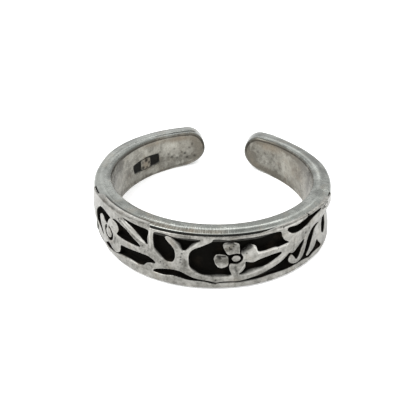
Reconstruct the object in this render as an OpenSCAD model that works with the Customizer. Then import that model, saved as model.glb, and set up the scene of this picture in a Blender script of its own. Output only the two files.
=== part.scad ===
// Toe ring: an open band of cast metal, broad at the front and narrower towards two
// round tips, with a raised panel of blossom and branches round the front.
// The band is drawn about its own axis, front towards -Y, and then laid on its lower edge.

/* [Band] */
// Diameter of the hollow that the toe goes through
inner_d = 15; // [13:0.5:20]
// Thickness of the plain arms
arm_t = 1.32; // [1:0.02:1.8]
// Width of the band at the middle of the front
front_w = 4.44; // [3.8:0.02:6]
// Width that the band narrows to opposite the front
back_w = 2.94; // [2.2:0.02:3.6]
// Angle of the opening between the two tips
gap_angle = 26.4; // [10:0.2:60]
// How much more the tips' arc spans than the band's width there
tip_ease = 0.2; // [0.1:0.02:0.4]
// Bevel along the outer and inner edges
bevel = 0.18; // [0.05:0.01:0.2]

/* [Panel] */
// Height of the panel over the arms
panel_rise = 0.1; // [0.04:0.01:0.3]
// How far the panel's edges lie in from the band's faces
panel_rim = 0.12; // [0.05:0.01:0.4]
// Angle from the front to the panel's left end
panel_left = 67; // [66:1:90]
// Angle from the front to the panel's right end
panel_right = 82; // [80:1:100]
// Depth of the hollows between the branches
relief_depth = 0.42; // [0.2:0.02:0.6]
// Width of the seam between the panel and the band
seam_w = 0.07; // [0.03:0.01:0.1]
// Depth of the seam below the panel's edges
seam_depth = 0.1; // [0.05:0.01:0.2]
// Angle by which the ornament sits to the right of the front
ornament_turn = 0.5; // [-3:0.1:3]
// How far the ornament is stretched round the band
ornament_spread = 0.98; // [0.9:0.01:1]
// How far the ornament is raised, as a share of half the panel's width
ornament_lift = 0.02; // [-0.02:0.01:0.04]

/* [Struck mark] */
// Length of the struck mark inside the left arm
mark_l = 3; // [2:0.1:4]
// Height of the struck mark
mark_h = 1; // [0.6:0.1:1.4]
// Depth of the struck mark
mark_depth = 0.12; // [0.05:0.01:0.3]
// Angle from the front to the middle of the struck mark
mark_angle = 126; // [110:1:140]
// How far the struck mark sits below the middle of the band
mark_drop = 0.3; // [-0.3:0.1:0.3]

/* [Hidden] */
$fn = 96;

inner_r = inner_d/2;
arm_r = inner_r + arm_t;
panel_r = arm_r + panel_rise;
floor_r = panel_r - relief_depth;
mid_r = (inner_r + arm_r)/2;

front_half = front_w/2;
back_half = back_w/2;
panel_half = front_half - panel_rim;
field_half = panel_half - seam_w;

// The upper and lower faces lean towards each other, so that the band narrows at the back
lean = atan((front_half - back_half)/(2*arm_r));
mid_half = (front_half + back_half)/2;

// Tips: the arc is a little larger than the band's half width, so that it crosses the edges
tip_angle = 180 - gap_angle/2;
tip_r = back_half*(1 + tip_ease);
tip_centre = tip_angle - asin(tip_r/mid_r);

over = 0.5; // overlap that lets a cut run clear of what it cuts
tall = 3*front_w;

// Chart of the ornament. Each hollow is an outline of [angle from the front in degrees,
// height as a share of half the ornament's field], seen from outside, right is plus.

// Hollows round the left blossom
CRESCENT = [
    [-46, 0.58], [-50, 0.64], [-53.2, 0.69], [-55.6, 0.66], [-58, 0.55], [-60, 0.4],
    [-61.8, 0.21], [-62.6, 0], [-62.2, -0.22], [-61, -0.41], [-59.8, -0.58],
    [-58.6, -0.68], [-56.5, -0.71], [-55.1, -0.65], [-54.8, -0.42], [-55.2, -0.18],
    [-56.2, 0.05], [-56.5, 0.25], [-55.7, 0.38], [-54.3, 0.41], [-52.5, 0.32], [-51.3, 0.2],
    [-50.3, 0.17], [-49.3, 0.22], [-48.6, 0.34], [-47.5, 0.46], [-46.3, 0.53]];
UNDER_LEAF = [
    [-44.8, 0.57], [-43.3, 0.63], [-41.5, 0.65], [-39, 0.62], [-36.5, 0.56],
    [-34.3, 0.52], [-32.5, 0.43], [-30.5, 0.32], [-28.5, 0.24], [-26.7, 0.16],
    [-25.7, 0.09], [-26.6, 0.06], [-28.5, 0.03], [-33, 0.03], [-38, 0.03], [-41.9, 0.05],
    [-41, 0.15], [-40, 0.28], [-40.1, 0.4], [-41, 0.49], [-42.5, 0.53]];
OVER_LEAF = [
    [-36.4, 0.95], [-35, 0.93], [-31, 0.905], [-26, 0.89], [-21.2, 0.88], [-21.4, 0.76],
    [-22, 0.6], [-22.2, 0.45], [-21.9, 0.3], [-22.5, 0.26], [-23.3, 0.33], [-25, 0.42],
    [-26.5, 0.53], [-28, 0.61], [-29.8, 0.69], [-32, 0.76], [-34.5, 0.83], [-36, 0.91]];
UNDER_BRANCH = [
    [-54, -0.75], [-53.5, -0.72], [-52, -0.69], [-50.8, -0.62], [-49.5, -0.55],
    [-48.2, -0.54], [-46.8, -0.61], [-45.5, -0.69], [-43.5, -0.73], [-41.5, -0.69],
    [-40.2, -0.63], [-39.5, -0.55], [-39.2, -0.45], [-39, -0.33], [-38.4, -0.26],
    [-36, -0.24], [-33, -0.22], [-30, -0.2], [-27, -0.18], [-25, -0.17], [-22.5, -0.17],
    [-20.8, -0.21], [-19.2, -0.27], [-18.2, -0.34], [-18.3, -0.39], [-19.5, -0.42],
    [-21, -0.43], [-22.3, -0.46], [-23.3, -0.52], [-24, -0.59], [-25, -0.65],
    [-26.5, -0.68], [-28, -0.7], [-30, -0.68], [-32, -0.66], [-34, -0.66],
    [-36, -0.67], [-38, -0.68], [-39.5, -0.7], [-41, -0.73], [-44, -0.77],
    [-48, -0.79], [-52, -0.78]];

// Hollows round the forked branch and the right blossom
FORK = [
    [-19, 0.82], [-17.8, 0.88], [-15.5, 0.89], [-12.5, 0.88], [-10, 0.84], [-7, 0.84],
    [-3, 0.86], [0, 0.865], [2, 0.85], [3.1, 0.82], [2.2, 0.78], [0.8, 0.7],
    [-0.6, 0.6], [-2, 0.51], [-3.3, 0.42], [-4.2, 0.36], [-5.3, 0.36], [-6, 0.44],
    [-7, 0.55], [-8, 0.65], [-9, 0.74], [-10.2, 0.8], [-11.8, 0.825], [-13, 0.81],
    [-13.4, 0.77], [-12.8, 0.68], [-11.6, 0.58], [-10.3, 0.5], [-9.3, 0.4],
    [-8.8, 0.28], [-8.6, 0.15], [-8.8, 0], [-9.3, -0.1], [-10, -0.16], [-11.5, -0.19],
    [-13, -0.16], [-15, -0.07], [-16.6, 0.02], [-18, 0.13], [-18.9, 0.25],
    [-19.1, 0.4], [-19.2, 0.6]];
GARDEN = [
    [8, 0.83], [8.3, 0.885], [10, 0.89], [12.5, 0.88], [15, 0.83], [17.5, 0.86],
    [21, 0.86], [26, 0.85], [31, 0.86], [36, 0.855], [39.4, 0.83], [40.3, 0.75],
    [40.4, 0.65], [41, 0.54], [42, 0.43], [43.4, 0.34], [45.3, 0.25], [43.8, 0.24],
    [40.8, 0.24], [39, 0.21], [37.2, 0.275], [34.5, 0.25], [32, 0.23], [29, 0.24],
    [28.2, 0.32], [27.6, 0.44], [26.6, 0.53], [25.4, 0.565], [24.9, 0.45],
    [23.5, 0.35], [21.8, 0.33], [20.9, 0.28], [21.5, 0.18], [21.6, 0.08],
    [21.3, -0.02], [20.5, -0.08], [19.5, -0.12], [18, -0.12], [16.5, -0.09],
    [15.8, -0.1], [15.5, -0.2], [15.6, -0.3], [16.1, -0.42], [16.8, -0.54],
    [16.6, -0.6], [14, -0.61], [11, -0.61], [8, -0.6], [5, -0.56], [2.5, -0.51],
    [0.5, -0.44], [-1, -0.35], [-2.1, -0.24], [-2.4, -0.08], [-2.5, 0.08],
    [-2.4, 0.2], [-1.9, 0.32], [-0.9, 0.42], [0.5, 0.5], [2.5, 0.57], [4.5, 0.65],
    [6.5, 0.73], [7.7, 0.78]];
POCKET = [
    [23, -0.06], [24.2, -0.11], [26.2, -0.15], [27.6, -0.13], [29, -0.08], [32, -0.04],
    [36, -0.01], [39, 0], [40.6, -0.01], [41.1, -0.07], [40.4, -0.13], [38.5, -0.2],
    [36, -0.29], [33.5, -0.37], [31, -0.45], [28.5, -0.51], [25.5, -0.555],
    [22.5, -0.585], [20, -0.58], [20.1, -0.52], [21.3, -0.46], [22.4, -0.37],
    [23, -0.26], [22.8, -0.14]];

// Hollow along the foot of the panel, and the one over the right branch
FOOT = [
    [-19.6, -0.7], [-18.7, -0.63], [-17, -0.58], [-14.5, -0.52], [-12, -0.48],
    [-9.5, -0.46], [-7, -0.48], [-5, -0.53], [-3, -0.6], [-1, -0.67], [1.5, -0.72],
    [4, -0.755], [6.5, -0.78], [8.5, -0.82], [9.9, -0.85], [11.2, -0.82], [13, -0.8],
    [16, -0.81], [20, -0.83], [23, -0.8], [27, -0.75], [31, -0.69], [34.5, -0.6],
    [38.2, -0.51], [41.4, -0.41], [43.7, -0.3], [45.3, -0.2], [46.4, -0.24],
    [47.2, -0.27], [48.6, -0.25], [50.2, -0.15], [51.7, -0.06], [53.2, 0.01],
    [54.6, 0.06], [55.5, 0.02], [55, -0.08], [54, -0.2], [53.1, -0.36], [52.2, -0.52],
    [51, -0.635], [50, -0.6], [49.1, -0.5], [48.2, -0.4], [47, -0.31],
    [46.4, -0.33], [45.6, -0.39], [45.2, -0.48], [45.5, -0.57], [46.3, -0.64],
    [47.4, -0.71], [48.9, -0.76], [50.7, -0.79], [52.3, -0.77], [53.8, -0.72],
    [54.9, -0.64], [55.7, -0.52], [56.4, -0.39], [57, -0.23], [57.4, -0.08],
    [58, 0.04], [58.8, 0.15], [60, 0.26], [61.8, 0.32], [64, 0.35], [66, 0.32],
    [67.3, 0.26], [65.2, 0.21], [63.6, 0.16], [62.6, 0.06], [62.2, -0.05],
    [61.9, -0.18], [61, -0.34], [60.1, -0.47], [59.2, -0.59], [58.1, -0.68],
    [57.8, -0.75], [58.7, -0.81], [60, -0.81], [61.5, -0.78], [63.5, -0.75],
    [64.7, -0.69], [65.5, -0.59], [66.2, -0.47], [67, -0.42], [67.8, -0.48],
    [69, -0.6], [70.6, -0.69], [72.4, -0.76], [74.5, -0.83], [76.5, -0.88],
    [76.2, -0.93], [73.5, -0.9], [71, -0.86], [68, -0.83], [64, -0.82],
    [61.5, -0.85], [60, -0.875], [58.3, -0.85], [56, -0.82], [53, -0.82],
    [48, -0.83], [43, -0.83], [38, -0.82], [34.5, -0.81], [32, -0.84], [28, -0.86],
    [24, -0.875], [20, -0.88], [15, -0.865], [11, -0.865], [9.8, -0.9], [8, -0.885],
    [5.5, -0.83], [3, -0.8], [0, -0.81], [-3, -0.8], [-5, -0.77], [-7.5, -0.73],
    [-10, -0.71], [-12, -0.74], [-14, -0.77], [-17, -0.76], [-19.2, -0.745]];
OVER_BRANCH = [
    [43.4, 0.8], [43.7, 0.86], [45.4, 0.855], [48.4, 0.82], [50.4, 0.82], [52.5, 0.85],
    [54.7, 0.91], [56.1, 0.98], [57.1, 1.03], [57.9, 1], [57.6, 0.93], [58, 0.89],
    [60, 0.87], [63, 0.88], [66, 0.86], [69, 0.82], [71, 0.76], [69, 0.72],
    [66.5, 0.75], [63, 0.71], [60, 0.68], [57.2, 0.61], [54.4, 0.55], [51.4, 0.51],
    [48.7, 0.52], [46.8, 0.545], [45.4, 0.61], [44.2, 0.69], [43.5, 0.75]];
LAST = [
    [73.3, 0.22], [72, 0.11], [71, -0.01], [70.8, -0.16], [71.4, -0.27], [72.6, -0.37],
    [74.4, -0.43], [76, -0.42], [77, -0.32], [77.3, -0.16], [76.8, 0.04], [75.4, 0.19]];

// Petals that stand free in the hollows
UPPER_PETAL = [
    [12.8, 0.71], [12.5, 0.64], [12.8, 0.54], [13.6, 0.41], [14.4, 0.31], [15, 0.26],
    [16.5, 0.28], [18, 0.3], [19.5, 0.29], [20.3, 0.26], [20.1, 0.38], [20.1, 0.52],
    [19.9, 0.65], [19.1, 0.71], [17.6, 0.735], [16.3, 0.715], [15.2, 0.745],
    [13.8, 0.75]];
LEFT_PETAL = [
    [10.2, 0.3], [12, 0.3], [13.8, 0.26], [14.9, 0.2], [15.2, 0.1], [15.2, -0.02],
    [15.3, -0.1], [14.9, -0.18], [13.8, -0.23], [12.3, -0.26], [10.9, -0.24],
    [9.8, -0.15], [9, -0.02], [8.6, 0.1], [8.8, 0.2], [9.4, 0.27]];

// Hearts of the two blossoms: [angle, height, radius of the boss, radius of its groove],
// all but the angle as shares of half the ornament's field
LEFT_HEART = [-48.5, -0.15, 0.18, 0.265];
RIGHT_HEART = [18.6, 0.09, 0.135, 0.215];

function next(list, i) = list[(i + 1) % len(list)];
// One pass of corner cutting: each side keeps its middle half, which rounds every corner
function softened(list) =
    [for (i = [0:len(list) - 1]) for (share = [0.25, 0.75])
        list[i]*(1 - share) + next(list, i)*share];

// Where a charted point sits on the band: its angle and its height
function placed(p) = [p[0]*ornament_spread + ornament_turn,
                      (p[1] + ornament_lift)*field_half];
// Places charted points in the flat picture at distance r that is square to angle middle
function flat(list, middle, r) =
    [for (p = list) let (q = placed(p)) [r*tan(q[0] - middle), q[1]]];
function round_outline(heart, k) =
    [for (a = [0:20:340]) [heart[0] + heart[k]*field_half/panel_r*cos(a)*180/PI,
                           heart[1] + heart[k]*sin(a)]];

// Pushes a flat picture outwards along the rays from the axis, through the panel's skin
module carve(middle) {
    start_r = floor_r - over;
    end_r = panel_r + over;
    rotate([90, 0, middle]) translate([0, 0, start_r])
        linear_extrude(height = end_r - start_r, scale = [end_r/start_r, 1], slices = 1,
            segments = 1) children();
}
module area(list, middle) polygon(flat(softened(list), middle, floor_r - over));
module disc(heart, k, middle) polygon(flat(round_outline(heart, k), middle, floor_r - over));

module left_hollows() {
    middle = -40;
    carve(middle) {
        for (list = [CRESCENT, UNDER_LEAF, OVER_LEAF, UNDER_BRANCH]) area(list, middle);
        difference() {
            disc(LEFT_HEART, 3, middle);
            disc(LEFT_HEART, 2, middle);
        }
    }
}
module right_hollows() {
    middle = 29;
    carve(middle) {
        for (list = [FORK, POCKET, FOOT, OVER_BRANCH, LAST]) area(list, middle);
        difference() {
            union() {
                area(GARDEN, middle);
                disc(RIGHT_HEART, 3, middle);
            }
            difference() {
                union() {
                    area(UPPER_PETAL, middle);
                    area(LEFT_PETAL, middle);
                }
                disc(RIGHT_HEART, 3, middle);
            }
            disc(RIGHT_HEART, 2, middle);
        }
    }
}
module hollows() {
    difference() {
        union() {
            left_hollows();
            right_hollows();
        }
        cylinder(h = tall, r = floor_r, center = true);
    }
}

// Everything under the leaning upper face, with its bevelled edges
module under_upper_face() {
    run = bevel + over;
    translate([0, 0, mid_half]) rotate([-lean, 0, 0]) rotate_extrude()
        polygon([[inner_r + bevel, 0], [arm_r - bevel, 0], [arm_r + over, -run],
                 [arm_r + over, -tall], [inner_r - over, -tall], [inner_r - over, -run]]);
}
module annulus(r) {
    difference() {
        cylinder(h = tall, r = r, center = true);
        cylinder(h = tall + over, r = inner_r, center = true);
    }
}
module blank() {
    intersection() {
        annulus(arm_r);
        under_upper_face();
        mirror([0, 0, 1]) under_upper_face();
    }
}
// Slab between the two leaning planes that lie inset within the band's faces
module slab(inset) {
    side = 4*panel_r;
    intersection() {
        translate([0, 0, mid_half - inset]) rotate([-lean, 0, 0])
            translate([-side/2, -side/2, -side]) cube([side, side, side]);
        mirror([0, 0, 1]) translate([0, 0, mid_half - inset]) rotate([-lean, 0, 0])
            translate([-side/2, -side/2, -side]) cube([side, side, side]);
    }
}
module panel() {
    intersection() {
        rotate([0, 0, -90 - panel_left]) rotate_extrude(angle = panel_left + panel_right)
            translate([mid_r, -tall/2]) square([panel_r - mid_r, tall]);
        slab(panel_rim);
    }
}
// Slot between the back of the panel's edge and the bevel of the band
module seam() {
    seam_r = arm_r - bevel/2;
    translate([0, 0, mid_half - panel_rim - seam_depth]) rotate([-lean, 0, 0])
        rotate([0, 0, -90 - panel_left]) rotate_extrude(angle = panel_left + panel_right)
            translate([seam_r - seam_w/2, 0]) square([seam_w, front_w]);
}
// Block that takes off all beyond one tip's arc
module beyond_tip() {
    reach = 2*panel_r*tan((180 - tip_centre)/2);
    rotate([0, 0, tip_centre]) difference() {
        translate([0, -panel_r - over, -tall/2]) cube([reach, arm_t + 3*over, tall]);
        translate([0, -panel_r - tall, 0]) rotate([-90, 0, 0])
            cylinder(h = 2*tall, r = tip_r);
    }
}
module struck_mark() {
    share = mark_l/inner_r*180/PI;
    rotate([0, 0, -90 - mark_angle - share/2]) rotate_extrude(angle = share)
        translate([inner_r - over, -mark_drop - mark_h/2]) square([over + mark_depth, mark_h]);
}

module band() {
    color("silver")
        translate([0, 0, mid_half*cos(lean)]) rotate([-lean, 0, 0]) difference() {
            union() {
                blank();
                panel();
            }
            hollows();
            seam();
            mirror([0, 0, 1]) seam();
            beyond_tip();
            mirror([1, 0, 0]) beyond_tip();
            struck_mark();
        }
}

band();
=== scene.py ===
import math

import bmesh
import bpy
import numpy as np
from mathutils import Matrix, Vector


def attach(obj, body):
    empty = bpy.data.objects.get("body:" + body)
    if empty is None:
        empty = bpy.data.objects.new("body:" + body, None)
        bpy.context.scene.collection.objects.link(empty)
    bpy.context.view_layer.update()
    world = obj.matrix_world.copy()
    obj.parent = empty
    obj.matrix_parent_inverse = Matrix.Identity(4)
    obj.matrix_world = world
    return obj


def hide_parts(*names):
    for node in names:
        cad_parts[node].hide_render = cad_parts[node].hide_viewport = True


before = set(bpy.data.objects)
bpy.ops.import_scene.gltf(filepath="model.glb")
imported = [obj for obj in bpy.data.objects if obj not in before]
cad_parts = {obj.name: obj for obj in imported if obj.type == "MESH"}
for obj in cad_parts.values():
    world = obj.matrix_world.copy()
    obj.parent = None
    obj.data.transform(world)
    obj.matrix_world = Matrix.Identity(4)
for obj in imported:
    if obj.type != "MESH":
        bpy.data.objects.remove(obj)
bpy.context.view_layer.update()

# %% [markdown]
# # An open toe ring of blackened silver
# The real thing is a small band of cast silver, open at the back so that it can be squeezed to fit, with a
# raised panel of blossom and branches round its front. The silver was blackened all over and then rubbed
# bright again, so black stays only where a cloth can't reach.
#
# The ring is far too small for sculpting by eye to be easy to repeat, so both pieces are written as numpy
# surfaces: a section carried round the ring, and a curved sheet whose depth is looked up from a drawing.
# All sizes are in millimetres in the ring's own frame, whose axis is +Z and whose front is -Y.

# %% [markdown]
# ## Sizes and the way the ring lies
# The band's upper and lower faces lean towards each other, so the band is broad in front and narrow at the
# back. Laid on a table it rests on its lower face, which turns the whole ring by that lean about X. Every
# point below is worked out in the upright ring and then laid down by one function, so the two never mix.

# %% Sizes of the ring
# Radii in mm of the inner wall, the arms, the top of the panel and the floor of its hollows, then half
# widths of the band in front and behind and of the ornament's field. Angles count from the front, with plus
# to the right.
INNER_R = 7.5
ARM_R = 8.82
PANEL_R = 8.92
FLOOR_R = 8.50
FRONT_HALF = 2.22
BACK_HALF = 1.47
FIELD_HALF = 2.03
PANEL_LEFT = -67.0
PANEL_RIGHT = 82.0
TIP_ANGLE = 166.8
TIP_R = 1.764
MID_R = (INNER_R + ARM_R) / 2
MID_HALF = (FRONT_HALF + BACK_HALF) / 2
LEAN = math.atan((FRONT_HALF - BACK_HALF) / (2 * ARM_R))
TIP_CENTRE = TIP_ANGLE - math.degrees(math.asin(TIP_R / MID_R))
MM_PER_DEGREE = PANEL_R * math.pi / 180
print("lean, degrees:", round(math.degrees(LEAN), 3), " tip centre:", round(TIP_CENTRE, 2))


def laid_down(points):
    """Points of the upright ring in mm become metres in the frame: turned by the lean about X, then raised
    by the middle half width times the cosine of the lean, so that the lower face lies on the floor."""
    points = np.asarray(points, float)
    x, y, z = points[..., 0], points[..., 1], points[..., 2]
    turned_y = y * math.cos(LEAN) + z * math.sin(LEAN)
    turned_z = -y * math.sin(LEAN) + z * math.cos(LEAN) + MID_HALF * math.cos(LEAN)
    return np.stack([x, turned_y, turned_z], -1) / 1000


def face_height(radius, angle):
    """Height of the upper face: the middle half width plus radius times the cosine of the angle from the
    front times the slope of the lean."""
    return MID_HALF + radius * np.cos(np.radians(angle)) * math.tan(LEAN)


# %% [markdown]
# ## The drawing of the ornament
# The hollows are drawn as outlines on the unrolled front of the ring. Each point is an angle from the front
# in degrees and a height in hundredths of half the ornament's field, up or down from its middle. The solid
# model uses the same drawing. A learner could trace it with a pen on a paper strip wound round the ring, or
# as Blender curves, but a table is easier to correct point by point.

# %% Hollows round the left blossom
CRESCENT = [
    [-46, 58], [-50, 64], [-53.2, 69], [-55.6, 66], [-58, 55], [-60, 40], [-61.8, 21], [-62.6, 0],
    [-62.2, -22], [-61, -41], [-59.8, -58], [-58.6, -68], [-56.5, -71], [-55.1, -65], [-54.8, -42],
    [-55.2, -18], [-56.2, 5], [-56.5, 25], [-55.7, 38], [-54.3, 41], [-52.5, 32], [-51.3, 20], [-50.3, 17],
    [-49.3, 22], [-48.6, 34], [-47.5, 46], [-46.3, 53]]
UNDER_LEAF = [
    [-44.8, 57], [-43.3, 63], [-41.5, 65], [-39, 62], [-36.5, 56], [-34.3, 52], [-32.5, 43], [-30.5, 32],
    [-28.5, 24], [-26.7, 16], [-25.7, 9], [-26.6, 6], [-28.5, 3], [-33, 3], [-38, 3], [-41.9, 5], [-41, 15],
    [-40, 28], [-40.1, 40], [-41, 49], [-42.5, 53]]
OVER_LEAF = [
    [-36.4, 95], [-35, 93], [-31, 90.5], [-26, 89], [-21.2, 88], [-21.4, 76], [-22, 60], [-22.2, 45],
    [-21.9, 30], [-22.5, 26], [-23.3, 33], [-25, 42], [-26.5, 53], [-28, 61], [-29.8, 69], [-32, 76],
    [-34.5, 83], [-36, 91]]
UNDER_BRANCH = [
    [-54, -75], [-53.5, -72], [-52, -69], [-50.8, -62], [-49.5, -55], [-48.2, -54], [-46.8, -61],
    [-45.5, -69], [-43.5, -73], [-41.5, -69], [-40.2, -63], [-39.5, -55], [-39.2, -45], [-39, -33],
    [-38.4, -26], [-36, -24], [-33, -22], [-30, -20], [-27, -18], [-25, -17], [-22.5, -17], [-20.8, -21],
    [-19.2, -27], [-18.2, -34], [-18.3, -39], [-19.5, -42], [-21, -43], [-22.3, -46], [-23.3, -52],
    [-24, -59], [-25, -65], [-26.5, -68], [-28, -70], [-30, -68], [-32, -66], [-34, -66], [-36, -67],
    [-38, -68], [-39.5, -70], [-41, -73], [-44, -77], [-48, -79], [-52, -78]]

# %% Hollows round the forked branch and the right blossom
FORK = [
    [-19, 82], [-17.8, 88], [-15.5, 89], [-12.5, 88], [-10, 84], [-7, 84], [-3, 86], [0, 86.5], [2, 85],
    [3.1, 82], [2.2, 78], [0.8, 70], [-0.6, 60], [-2, 51], [-3.3, 42], [-4.2, 36], [-5.3, 36], [-6, 44],
    [-7, 55], [-8, 65], [-9, 74], [-10.2, 80], [-11.8, 82.5], [-13, 81], [-13.4, 77], [-12.8, 68],
    [-11.6, 58], [-10.3, 50], [-9.3, 40], [-8.8, 28], [-8.6, 15], [-8.8, 0], [-9.3, -10], [-10, -16],
    [-11.5, -19], [-13, -16], [-15, -7], [-16.6, 2], [-18, 13], [-18.9, 25], [-19.1, 40], [-19.2, 60]]
GARDEN = [
    [8, 83], [8.3, 88.5], [10, 89], [12.5, 88], [15, 83], [17.5, 86], [21, 86], [26, 85], [31, 86],
    [36, 85.5], [39.4, 83], [40.3, 75], [40.4, 65], [41, 54], [42, 43], [43.4, 34], [45.3, 25], [43.8, 24],
    [40.8, 24], [39, 21], [37.2, 27.5], [34.5, 25], [32, 23], [29, 24], [28.3, 30], [27.9, 43], [27.2, 52],
    [26.2, 56], [25.2, 53], [24.1, 48.5], [22.9, 45], [21.8, 39], [21, 32], [20.8, 27], [21.5, 18],
    [21.6, 8], [21.3, -2], [20.5, -8], [19.5, -12], [18, -12], [16.5, -9], [15.8, -10], [15.5, -20],
    [15.6, -30], [16.1, -42], [16.8, -54], [16.6, -60], [14, -61], [11, -61], [8, -60], [5, -56],
    [2.5, -51], [0.5, -44], [-1, -35], [-2.1, -24], [-2.4, -8], [-2.5, 8], [-2.4, 20], [-1.9, 32],
    [-0.9, 42], [0.5, 50], [2.5, 57], [4.5, 65], [6.5, 73], [7.7, 78]]
POCKET = [
    [23, -6], [24.2, -11], [26.2, -15], [27.6, -13], [29, -8], [32, -4], [36, -1], [39, 0], [40.6, -1],
    [41.1, -7], [40.4, -13], [38.5, -20], [36, -29], [33.5, -37], [31, -45], [28.5, -51], [25.5, -55.5],
    [22.5, -58.5], [20, -58], [20.1, -52], [21.3, -46], [22.4, -37], [23, -26], [22.8, -14]]

# %% Hollow along the foot of the panel, the one over the right branch, and the last one at the right end
FOOT = [
    [-19.6, -70], [-18.7, -63], [-17, -58], [-14.5, -52], [-12, -48], [-9.5, -46], [-7, -48], [-5, -53],
    [-3, -60], [-1, -67], [1.5, -72], [4, -75.5], [6.5, -78], [8.5, -82], [9.9, -85], [11.2, -82],
    [13, -80], [16, -81], [20, -83], [23, -80], [27, -75], [31, -69], [34.5, -60], [38.2, -51], [41.4, -41],
    [43.7, -30], [45.3, -20], [46.4, -24], [47.2, -27], [48.6, -25], [50.2, -15], [51.7, -6], [53.2, 1],
    [54.6, 6], [55.5, 2], [55, -8], [54, -20], [53.1, -36], [52.2, -52], [51, -63.5], [50, -60],
    [49.1, -50], [48.2, -40], [47, -31], [46.4, -33], [45.6, -39], [45.2, -48], [45.5, -57], [46.3, -64],
    [47.4, -71], [48.9, -76], [50.7, -79], [52.3, -77], [53.8, -72], [54.9, -64], [55.7, -52], [56.4, -39],
    [57, -23], [57.4, -8], [58, 4], [58.8, 15], [60, 26], [61.8, 32], [64, 33.5], [66.5, 29], [69.3, 20],
    [71, 13], [69.2, 10], [66, 11], [63.9, 6], [62.9, -5], [61.9, -18], [61, -34], [60.1, -47], [59.2, -59],
    [58.1, -68], [57.8, -75], [58.7, -79.5], [60, -77], [61.5, -72], [63.2, -67], [64.4, -61], [65.3, -53],
    [66.2, -45], [67, -41], [67.8, -48], [68.9, -60], [70, -68], [71, -76], [71.5, -81], [71.2, -85],
    [70, -86], [68, -83], [64, -82], [61.5, -85], [60, -87.5], [58.3, -85], [56, -82], [53, -82], [48, -83],
    [43, -83], [38, -82], [34.5, -81], [32, -84], [28, -86], [24, -87.5], [20, -88], [15, -86.5],
    [11, -86.5], [9.8, -90], [8, -88.5], [5.5, -83], [3, -80], [0, -81], [-3, -80], [-5, -77], [-7.5, -73],
    [-10, -71], [-12, -74], [-14, -77], [-17, -76], [-19.2, -74.5]]
OVER_BRANCH = [
    [43.4, 80], [43.7, 86], [45.4, 85.5], [48.4, 82], [50.4, 82], [52.5, 85], [54.7, 88], [56.1, 91],
    [57, 96.5], [58, 96], [57.7, 91], [58, 89], [60, 90.5], [63, 91], [66, 90], [67.4, 88.5], [68.3, 85],
    [67.4, 80], [66.5, 79], [63, 74], [60, 70], [57.2, 61], [54.4, 55], [51.4, 51], [48.7, 52],
    [46.8, 54.5], [45.4, 61], [44.2, 69], [43.5, 75]]
LAST = [
    [78.6, 40], [76.6, 25], [74.8, 5], [73.3, -12], [72.6, -28], [73, -40], [74.6, -48], [76.6, -45],
    [78.3, -30], [79.6, -10], [80.1, 10], [80, 30], [79.6, 42]]

# %% Petals that stand free in the garden, and the hearts of the two blossoms
UPPER_PETAL = [
    [12.8, 71], [12.5, 64], [12.8, 54], [13.6, 41], [14.4, 31], [15, 26], [16.5, 28], [18, 30], [19.5, 29],
    [20.3, 26], [20.1, 38], [20.1, 52], [19.9, 65], [19.1, 71], [17.6, 73.5], [16.3, 71.5], [15.2, 74.5],
    [13.8, 75]]
LEFT_PETAL = [
    [10.2, 30], [12, 30], [13.8, 26], [14.9, 20], [15.2, 10], [15.2, -2], [15.3, -10], [14.9, -18],
    [13.8, -23], [12.3, -26], [10.9, -24], [9.8, -15], [9, -2], [8.6, 10], [8.8, 20], [9.4, 27]]
# angle, height, half width and half height of the boss, half width and half height of its groove
LEFT_HEART = [-48.5, -13, 18.5, 18.5, 29.5, 30]
RIGHT_HEART = [18.6, 9.5, 14.8, 11.8, 23.8, 20.5]
# Metal that joins the left heart to the petal above it
HEART_BRIDGE = [[-50, 30], [-48.4, 30], [-48.4, -5], [-49.9, -5]]
# All hollows but the garden, in which petals and a heart stand
PLAIN_HOLLOWS = [CRESCENT, UNDER_LEAF, OVER_LEAF, UNDER_BRANCH, FORK, POCKET, FOOT, OVER_BRANCH, LAST]
print("points in the drawing:", sum(map(len, [GARDEN, *PLAIN_HOLLOWS])))

# %% From the drawing to millimetres
ORNAMENT_TURN = 0.5
ORNAMENT_SPREAD = 0.98
ORNAMENT_LIFT = 0.02


def placed(charted):
    """Charted angle and height become mm along the front and mm of height: the angle is stretched and
    turned a little to sit right on the ring, and the height is in hundredths of half the field."""
    charted = np.asarray(charted, float)
    along = (charted[..., 0] * ORNAMENT_SPREAD + ORNAMENT_TURN) * MM_PER_DEGREE
    across = (charted[..., 1] / 100 + ORNAMENT_LIFT) * FIELD_HALF
    return np.stack([along, across], -1)


def softened(outline, passes):
    """Corner cutting: each side of the outline keeps its middle half, once for each pass."""
    outline = np.asarray(outline, float)
    for _ in range(passes):
        after = np.roll(outline, -1, axis=0)
        cut = np.stack([0.75 * outline + 0.25 * after, 0.25 * outline + 0.75 * after], 1)
        outline = cut.reshape(-1, 2)
    return outline


def round_outline(heart, which):
    """An ellipse of the boss (2) or the groove (4) round the heart's middle, as 48 points in mm."""
    turn = np.linspace(0, 2 * math.pi, 48, endpoint=False)
    size = np.array(heart[which:which + 2]) / 100 * FIELD_HALF
    return placed(heart[:2]) + size * np.stack([np.cos(turn), np.sin(turn)], -1)


# %% [markdown]
# ## How far each point is from the edge of a hollow
# A cast hollow has a steep wall, a flat floor and a rubbed, slightly rounded brim. All three depend on one
# number, the distance to the outline, counted negative inside the hollow. With that number for every point
# of the sheet, hollows can be joined by taking the smaller distance, and a petal that stands free in a
# hollow is cut out of it by taking the larger of the hollow's and the petal's negative distance.

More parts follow.
